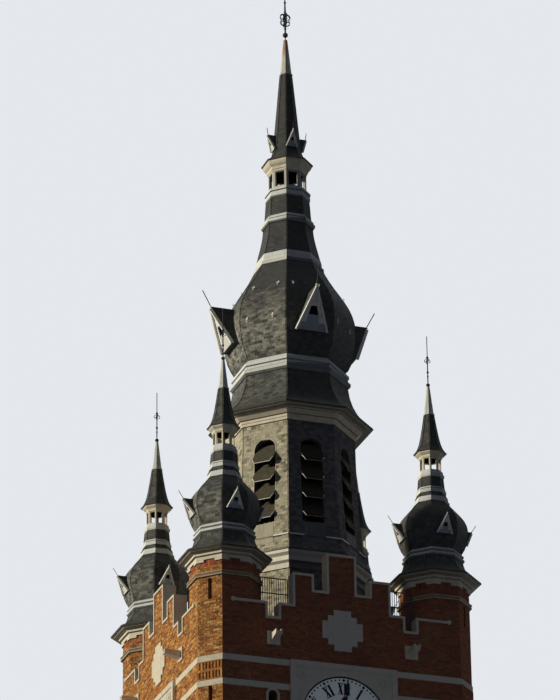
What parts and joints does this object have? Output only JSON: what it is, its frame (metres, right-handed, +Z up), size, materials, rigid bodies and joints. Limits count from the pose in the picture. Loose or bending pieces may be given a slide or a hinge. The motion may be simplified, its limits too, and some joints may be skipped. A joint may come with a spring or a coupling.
{
  "type": "town hall clock tower head",
  "caption": "Head of a brick town hall clock tower: clock storey with stepped parapets and corner turrets, slated octagonal belfry, onion roof and spire.",
  "frame": {"origin": "centre of the flat base of the clock storey", "axes": "+Z up, -Y towards the front face, +X to the right of the front face"},
  "size_m": [10.49, 10.49, 31.6],
  "materials": {
    "brick": "matt weathered brick",
    "stone": "matt dressed stone",
    "dial": "satin enamel",
    "hand": "satin black paint",
    "floor_timber": "sawn timber",
    "roof_lead": "dull lead sheet",
    "iron": "painted iron",
    "wall_slate": "weathered slates on boards",
    "roof_slate": "dark slates on boards",
    "louvre": "slated boards",
    "zinc": "pale metal sheet",
    "cream_paint": "painted timber",
    "finial_metal": "weathered metal"
  },
  "bodies": {
    "tower": {"front_wall": "brick", "right_wall": "brick", "back_wall": "brick", "left_wall": "brick", "front_left_shaft": "brick", "front_right_shaft": "brick", "back_left_shaft": "brick", "back_right_shaft": "brick", "parapet_copings": "stone", "upper_stone_bands": "stone", "lower_stone_bands": "stone", "clock_panels": "stone", "clock_dials": "dial", "stepped_panels": "stone", "water_spouts": "stone", "clock_room_floor": "floor_timber", "roof_walk": "roof_lead", "parapet_railings": "iron", "drum_base": "wall_slate", "lower_cornice": "cream_paint", "belfry_drum": "wall_slate", "louvre_boards": "louvre", "main_cornice": "cream_paint", "main_skirt": "roof_slate", "neck_band": "zinc", "main_bulb": "roof_slate", "bulb_top_band": "zinc", "upper_roof": "roof_slate", "roof_ring": "zinc", "lantern_sill": "cream_paint", "main_lantern": "cream_paint", "lantern_cornice": "cream_paint", "main_spire": "roof_slate", "spire_finial": "finial_metal", "main_gablets": "roof_slate", "spire_gablets": "roof_slate", "string_courses": "stone", "turret_cornices": "cream_paint", "turret_roofs": "roof_slate", "turret_bands": "zinc", "turret_lanterns": "cream_paint", "turret_spirelets": "roof_slate", "turret_finials": "finial_metal", "turret_gablets": "roof_slate"},
    "minute_front": {"minute_hand_front": "hand"},
    "hour_front": {"hour_hand_front": "hand"},
    "minute_right": {"minute_hand_right": "hand"},
    "hour_right": {"hour_hand_right": "hand"},
    "minute_back": {"minute_hand_back": "hand"},
    "hour_back": {"hour_hand_back": "hand"},
    "minute_left": {"minute_hand_left": "hand"},
    "hour_left": {"hour_hand_left": "hand"}
  },
  "joints": [
    {"name": "minute_front_turn", "type": "hinge", "parent": "tower", "child": "minute_front", "pos_m": [0, -4.645, 3], "axis": [0, 1, 0], "continuous": true},
    {"name": "hour_front_turn", "type": "hinge", "parent": "tower", "child": "hour_front", "pos_m": [0, -4.645, 3], "axis": [0, 1, 0], "continuous": true},
    {"name": "minute_right_turn", "type": "hinge", "parent": "tower", "child": "minute_right", "pos_m": [4.645, 0, 3], "axis": [-1, 0, 0], "continuous": true},
    {"name": "hour_right_turn", "type": "hinge", "parent": "tower", "child": "hour_right", "pos_m": [4.645, 0, 3], "axis": [-1, 0, 0], "continuous": true},
    {"name": "minute_back_turn", "type": "hinge", "parent": "tower", "child": "minute_back", "pos_m": [0, 4.645, 3], "axis": [0, -1, 0], "continuous": true},
    {"name": "hour_back_turn", "type": "hinge", "parent": "tower", "child": "hour_back", "pos_m": [0, 4.645, 3], "axis": [0, -1, 0], "continuous": true},
    {"name": "minute_left_turn", "type": "hinge", "parent": "tower", "child": "minute_left", "pos_m": [-4.645, 0, 3], "axis": [1, 0, 0], "continuous": true},
    {"name": "hour_left_turn", "type": "hinge", "parent": "tower", "child": "hour_left", "pos_m": [-4.645, 0, 3], "axis": [1, 0, 0], "continuous": true}
  ],
  "couplings": [
    {"joint": "hour_front_turn", "follows": "minute_front_turn", "ratio": 0.083333},
    {"joint": "minute_right_turn", "follows": "minute_front_turn", "ratio": 1},
    {"joint": "hour_right_turn", "follows": "minute_front_turn", "ratio": 0.083333},
    {"joint": "minute_back_turn", "follows": "minute_front_turn", "ratio": 1},
    {"joint": "hour_back_turn", "follows": "minute_front_turn", "ratio": 0.083333},
    {"joint": "minute_left_turn", "follows": "minute_front_turn", "ratio": 1},
    {"joint": "hour_left_turn", "follows": "minute_front_turn", "ratio": 0.083333}
  ]
}
